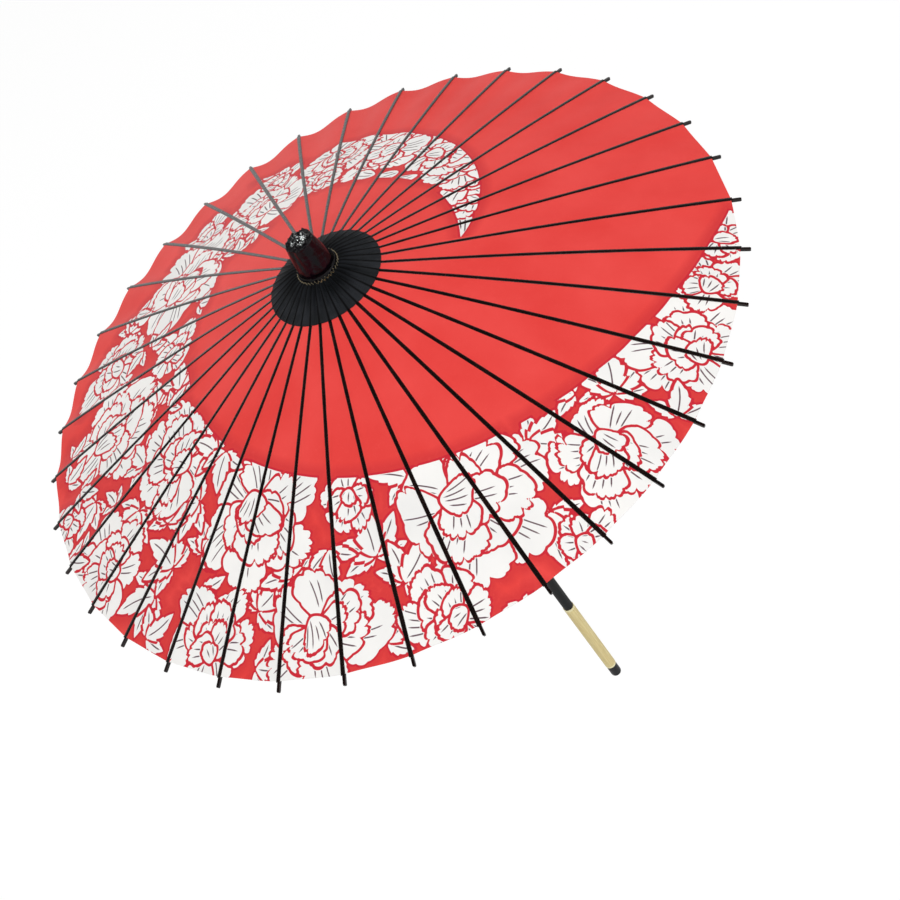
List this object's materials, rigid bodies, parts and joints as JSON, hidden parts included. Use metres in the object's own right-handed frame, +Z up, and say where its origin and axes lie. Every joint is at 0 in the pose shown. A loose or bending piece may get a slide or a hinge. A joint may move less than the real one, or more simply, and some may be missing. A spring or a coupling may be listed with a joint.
{
  "type": "paper umbrella",
  "caption": "Open Japanese dance umbrella: red paper over black lacquered bamboo ribs that fold down with a sliding runner, on a slim shaft with a wooden grip.",
  "frame": {"origin": "middle of the wooden grip, on the shaft's axis", "axes": "+Z up the shaft to the head; +X along rib 1, the ribs follow every 10 degrees towards +Y"},
  "size_m": [0.8412, 0.8412, 0.9235],
  "materials": {
    "rib_lacquer": "split bamboo under glossy black lacquer",
    "stretcher_bamboo": "plain split bamboo, lightly oiled",
    "turned_wood": "turned egonoki wood, plain",
    "paper_red": "oiled Japanese paper, red with a white peony print",
    "disc_paper": "pleated black paper",
    "cap_film": "glossy black film, gathered",
    "black_thread": "twisted black thread",
    "red_thread": "twisted red thread",
    "black_tube": "matte black coated steel tube",
    "grip_wood": "plain pale wood, fine straight grain",
    "ring_cream": "pale cream turned rings",
    "end_black": "black rubber",
    "pin_steel": "plain steel pins",
    "wire_brass": "brass hinge wire"
  },
  "bodies": {
    "shaft": {"shaft_tube": "black_tube", "grip": "grip_wood", "grip_ring_upper": "ring_cream", "grip_ring_lower": "ring_cream", "end_cap": "end_black", "head_hub": "turned_wood", "head_wire": "wire_brass", "head_pin": "pin_steel", "stop_pin": "pin_steel", "catch_pin": "pin_steel", "head_cap": "cap_film", "cap_tie": "black_thread", "ceiling_disc": "disc_paper", "canopy": "paper_red", "rim_thread": "red_thread"},
    "runner": {"runner_hub": "turned_wood", "runner_wire": "wire_brass", "stretchers": "stretcher_bamboo", "stretcher_pins": "pin_steel"},
    "catch": {"catch_leaf": "pin_steel"},
    "rib_01": {"rib_01": "rib_lacquer"},
    "rib_02": {"rib_02": "rib_lacquer"},
    "rib_03": {"rib_03": "rib_lacquer"},
    "rib_04": {"rib_04": "rib_lacquer"},
    "rib_05": {"rib_05": "rib_lacquer"},
    "rib_06": {"rib_06": "rib_lacquer"},
    "rib_07": {"rib_07": "rib_lacquer"},
    "rib_08": {"rib_08": "rib_lacquer"},
    "rib_09": {"rib_09": "rib_lacquer"},
    "rib_10": {"rib_10": "rib_lacquer"},
    "rib_11": {"rib_11": "rib_lacquer"},
    "rib_12": {"rib_12": "rib_lacquer"},
    "rib_13": {"rib_13": "rib_lacquer"},
    "rib_14": {"rib_14": "rib_lacquer"},
    "rib_15": {"rib_15": "rib_lacquer"},
    "rib_16": {"rib_16": "rib_lacquer"},
    "rib_17": {"rib_17": "rib_lacquer"},
    "rib_18": {"rib_18": "rib_lacquer"},
    "rib_19": {"rib_19": "rib_lacquer"},
    "rib_20": {"rib_20": "rib_lacquer"},
    "rib_21": {"rib_21": "rib_lacquer"},
    "rib_22": {"rib_22": "rib_lacquer"},
    "rib_23": {"rib_23": "rib_lacquer"},
    "rib_24": {"rib_24": "rib_lacquer"},
    "rib_25": {"rib_25": "rib_lacquer"},
    "rib_26": {"rib_26": "rib_lacquer"},
    "rib_27": {"rib_27": "rib_lacquer"},
    "rib_28": {"rib_28": "rib_lacquer"},
    "rib_29": {"rib_29": "rib_lacquer"},
    "rib_30": {"rib_30": "rib_lacquer"},
    "rib_31": {"rib_31": "rib_lacquer"},
    "rib_32": {"rib_32": "rib_lacquer"},
    "rib_33": {"rib_33": "rib_lacquer"},
    "rib_34": {"rib_34": "rib_lacquer"},
    "rib_35": {"rib_35": "rib_lacquer"},
    "rib_36": {"rib_36": "rib_lacquer"}
  },
  "joints": [
    {"name": "runner_slide", "type": "slide", "parent": "shaft", "child": "runner", "axis": [0, 0, -1], "range_m": [0, 0.24424], "deforming": ["canopy", "ceiling_disc", "rim_thread", "stretchers", "stretcher_pins", "catch_leaf"]},
    {"name": "catch_press", "type": "hinge", "parent": "shaft", "child": "catch", "pos_m": [0, 0, 0.64016], "axis": [0, 1, 0], "range_deg": [0, 5], "stiffness_Nm_per_rad": 0.3, "springref_deg": -2.86},
    {"name": "rib_01_hinge", "type": "hinge", "parent": "shaft", "child": "rib_01", "pos_m": [0.019, 0, 0.77], "axis": [0, 1, 0], "range_deg": [0, 69.7]},
    {"name": "rib_02_hinge", "type": "hinge", "parent": "shaft", "child": "rib_02", "pos_m": [0.01871, 0.0033, 0.77], "axis": [-0.1736, 0.9848, 0], "range_deg": [0, 69.7]},
    {"name": "rib_03_hinge", "type": "hinge", "parent": "shaft", "child": "rib_03", "pos_m": [0.01785, 0.0065, 0.77], "axis": [-0.342, 0.9397, 0], "range_deg": [0, 69.7]},
    {"name": "rib_04_hinge", "type": "hinge", "parent": "shaft", "child": "rib_04", "pos_m": [0.01645, 0.0095, 0.77], "axis": [-0.5, 0.866, 0], "range_deg": [0, 69.7]},
    {"name": "rib_05_hinge", "type": "hinge", "parent": "shaft", "child": "rib_05", "pos_m": [0.01455, 0.01221, 0.77], "axis": [-0.6428, 0.766, 0], "range_deg": [0, 69.7]},
    {"name": "rib_06_hinge", "type": "hinge", "parent": "shaft", "child": "rib_06", "pos_m": [0.01221, 0.01455, 0.77], "axis": [-0.766, 0.6428, 0], "range_deg": [0, 69.7]},
    {"name": "rib_07_hinge", "type": "hinge", "parent": "shaft", "child": "rib_07", "pos_m": [0.0095, 0.01645, 0.77], "axis": [-0.866, 0.5, 0], "range_deg": [0, 69.7]},
    {"name": "rib_08_hinge", "type": "hinge", "parent": "shaft", "child": "rib_08", "pos_m": [0.0065, 0.01785, 0.77], "axis": [-0.9397, 0.342, 0], "range_deg": [0, 69.7]},
    {"name": "rib_09_hinge", "type": "hinge", "parent": "shaft", "child": "rib_09", "pos_m": [0.0033, 0.01871, 0.77], "axis": [-0.9848, 0.1736, 0], "range_deg": [0, 69.7]},
    {"name": "rib_10_hinge", "type": "hinge", "parent": "shaft", "child": "rib_10", "pos_m": [0, 0.019, 0.77], "axis": [-1, 0, 0], "range_deg": [0, 69.7]},
    {"name": "rib_11_hinge", "type": "hinge", "parent": "shaft", "child": "rib_11", "pos_m": [-0.0033, 0.01871, 0.77], "axis": [-0.9848, -0.1736, 0], "range_deg": [0, 69.7]},
    {"name": "rib_12_hinge", "type": "hinge", "parent": "shaft", "child": "rib_12", "pos_m": [-0.0065, 0.01785, 0.77], "axis": [-0.9397, -0.342, 0], "range_deg": [0, 69.7]},
    {"name": "rib_13_hinge", "type": "hinge", "parent": "shaft", "child": "rib_13", "pos_m": [-0.0095, 0.01645, 0.77], "axis": [-0.866, -0.5, 0], "range_deg": [0, 69.7]},
    {"name": "rib_14_hinge", "type": "hinge", "parent": "shaft", "child": "rib_14", "pos_m": [-0.01221, 0.01455, 0.77], "axis": [-0.766, -0.6428, 0], "range_deg": [0, 69.7]},
    {"name": "rib_15_hinge", "type": "hinge", "parent": "shaft", "child": "rib_15", "pos_m": [-0.01455, 0.01221, 0.77], "axis": [-0.6428, -0.766, 0], "range_deg": [0, 69.7]},
    {"name": "rib_16_hinge", "type": "hinge", "parent": "shaft", "child": "rib_16", "pos_m": [-0.01645, 0.0095, 0.77], "axis": [-0.5, -0.866, 0], "range_deg": [0, 69.7]},
    {"name": "rib_17_hinge", "type": "hinge", "parent": "shaft", "child": "rib_17", "pos_m": [-0.01785, 0.0065, 0.77], "axis": [-0.342, -0.9397, 0], "range_deg": [0, 69.7]},
    {"name": "rib_18_hinge", "type": "hinge", "parent": "shaft", "child": "rib_18", "pos_m": [-0.01871, 0.0033, 0.77], "axis": [-0.1736, -0.9848, 0], "range_deg": [0, 69.7]},
    {"name": "rib_19_hinge", "type": "hinge", "parent": "shaft", "child": "rib_19", "pos_m": [-0.019, 0, 0.77], "axis": [0, -1, 0], "range_deg": [0, 69.7]},
    {"name": "rib_20_hinge", "type": "hinge", "parent": "shaft", "child": "rib_20", "pos_m": [-0.01871, -0.0033, 0.77], "axis": [0.1736, -0.9848, 0], "range_deg": [0, 69.7]},
    {"name": "rib_21_hinge", "type": "hinge", "parent": "shaft", "child": "rib_21", "pos_m": [-0.01785, -0.0065, 0.77], "axis": [0.342, -0.9397, 0], "range_deg": [0, 69.7]},
    {"name": "rib_22_hinge", "type": "hinge", "parent": "shaft", "child": "rib_22", "pos_m": [-0.01645, -0.0095, 0.77], "axis": [0.5, -0.866, 0], "range_deg": [0, 69.7]},
    {"name": "rib_23_hinge", "type": "hinge", "parent": "shaft", "child": "rib_23", "pos_m": [-0.01455, -0.01221, 0.77], "axis": [0.6428, -0.766, 0], "range_deg": [0, 69.7]},
    {"name": "rib_24_hinge", "type": "hinge", "parent": "shaft", "child": "rib_24", "pos_m": [-0.01221, -0.01455, 0.77], "axis": [0.766, -0.6428, 0], "range_deg": [0, 69.7]},
    {"name": "rib_25_hinge", "type": "hinge", "parent": "shaft", "child": "rib_25", "pos_m": [-0.0095, -0.01645, 0.77], "axis": [0.866, -0.5, 0], "range_deg": [0, 69.7]},
    {"name": "rib_26_hinge", "type": "hinge", "parent": "shaft", "child": "rib_26", "pos_m": [-0.0065, -0.01785, 0.77], "axis": [0.9397, -0.342, 0], "range_deg": [0, 69.7]},
    {"name": "rib_27_hinge", "type": "hinge", "parent": "shaft", "child": "rib_27", "pos_m": [-0.0033, -0.01871, 0.77], "axis": [0.9848, -0.1736, 0], "range_deg": [0, 69.7]},
    {"name": "rib_28_hinge", "type": "hinge", "parent": "shaft", "child": "rib_28", "pos_m": [0, -0.019, 0.77], "axis": [1, 0, 0], "range_deg": [0, 69.7]},
    {"name": "rib_29_hinge", "type": "hinge", "parent": "shaft", "child": "rib_29", "pos_m": [0.0033, -0.01871, 0.77], "axis": [0.9848, 0.1736, 0], "range_deg": [0, 69.7]},
    {"name": "rib_30_hinge", "type": "hinge", "parent": "shaft", "child": "rib_30", "pos_m": [0.0065, -0.01785, 0.77], "axis": [0.9397, 0.342, 0], "range_deg": [0, 69.7]},
    {"name": "rib_31_hinge", "type": "hinge", "parent": "shaft", "child": "rib_31", "pos_m": [0.0095, -0.01645, 0.77], "axis": [0.866, 0.5, 0], "range_deg": [0, 69.7]},
    {"name": "rib_32_hinge", "type": "hinge", "parent": "shaft", "child": "rib_32", "pos_m": [0.01221, -0.01455, 0.77], "axis": [0.766, 0.6428, 0], "range_deg": [0, 69.7]},
    {"name": "rib_33_hinge", "type": "hinge", "parent": "shaft", "child": "rib_33", "pos_m": [0.01455, -0.01221, 0.77], "axis": [0.6428, 0.766, 0], "range_deg": [0, 69.7]},
    {"name": "rib_34_hinge", "type": "hinge", "parent": "shaft", "child": "rib_34", "pos_m": [0.01645, -0.0095, 0.77], "axis": [0.5, 0.866, 0], "range_deg": [0, 69.7]},
    {"name": "rib_35_hinge", "type": "hinge", "parent": "shaft", "child": "rib_35", "pos_m": [0.01785, -0.0065, 0.77], "axis": [0.342, 0.9397, 0], "range_deg": [0, 69.7]},
    {"name": "rib_36_hinge", "type": "hinge", "parent": "shaft", "child": "rib_36", "pos_m": [0.01871, -0.0033, 0.77], "axis": [0.1736, 0.9848, 0], "range_deg": [0, 69.7]}
  ],
  "couplings": [
    {"joint": "rib_01_hinge", "follows": "runner_slide", "rad_per_m": 4.9807},
    {"joint": "rib_02_hinge", "follows": "runner_slide", "rad_per_m": 4.9807},
    {"joint": "rib_03_hinge", "follows": "runner_slide", "rad_per_m": 4.9807},
    {"joint": "rib_04_hinge", "follows": "runner_slide", "rad_per_m": 4.9807},
    {"joint": "rib_05_hinge", "follows": "runner_slide", "rad_per_m": 4.9807},
    {"joint": "rib_06_hinge", "follows": "runner_slide", "rad_per_m": 4.9807},
    {"joint": "rib_07_hinge", "follows": "runner_slide", "rad_per_m": 4.9807},
    {"joint": "rib_08_hinge", "follows": "runner_slide", "rad_per_m": 4.9807},
    {"joint": "rib_09_hinge", "follows": "runner_slide", "rad_per_m": 4.9807},
    {"joint": "rib_10_hinge", "follows": "runner_slide", "rad_per_m": 4.9807},
    {"joint": "rib_11_hinge", "follows": "runner_slide", "rad_per_m": 4.9807},
    {"joint": "rib_12_hinge", "follows": "runner_slide", "rad_per_m": 4.9807},
    {"joint": "rib_13_hinge", "follows": "runner_slide", "rad_per_m": 4.9807},
    {"joint": "rib_14_hinge", "follows": "runner_slide", "rad_per_m": 4.9807},
    {"joint": "rib_15_hinge", "follows": "runner_slide", "rad_per_m": 4.9807},
    {"joint": "rib_16_hinge", "follows": "runner_slide", "rad_per_m": 4.9807},
    {"joint": "rib_17_hinge", "follows": "runner_slide", "rad_per_m": 4.9807},
    {"joint": "rib_18_hinge", "follows": "runner_slide", "rad_per_m": 4.9807},
    {"joint": "rib_19_hinge", "follows": "runner_slide", "rad_per_m": 4.9807},
    {"joint": "rib_20_hinge", "follows": "runner_slide", "rad_per_m": 4.9807},
    {"joint": "rib_21_hinge", "follows": "runner_slide", "rad_per_m": 4.9807},
    {"joint": "rib_22_hinge", "follows": "runner_slide", "rad_per_m": 4.9807},
    {"joint": "rib_23_hinge", "follows": "runner_slide", "rad_per_m": 4.9807},
    {"joint": "rib_24_hinge", "follows": "runner_slide", "rad_per_m": 4.9807},
    {"joint": "rib_25_hinge", "follows": "runner_slide", "rad_per_m": 4.9807},
    {"joint": "rib_26_hinge", "follows": "runner_slide", "rad_per_m": 4.9807},
    {"joint": "rib_27_hinge", "follows": "runner_slide", "rad_per_m": 4.9807},
    {"joint": "rib_28_hinge", "follows": "runner_slide", "rad_per_m": 4.9807},
    {"joint": "rib_29_hinge", "follows": "runner_slide", "rad_per_m": 4.9807},
    {"joint": "rib_30_hinge", "follows": "runner_slide", "rad_per_m": 4.9807},
    {"joint": "rib_31_hinge", "follows": "runner_slide", "rad_per_m": 4.9807},
    {"joint": "rib_32_hinge", "follows": "runner_slide", "rad_per_m": 4.9807},
    {"joint": "rib_33_hinge", "follows": "runner_slide", "rad_per_m": 4.9807},
    {"joint": "rib_34_hinge", "follows": "runner_slide", "rad_per_m": 4.9807},
    {"joint": "rib_35_hinge", "follows": "runner_slide", "rad_per_m": 4.9807},
    {"joint": "rib_36_hinge", "follows": "runner_slide", "rad_per_m": 4.9807}
  ]
}
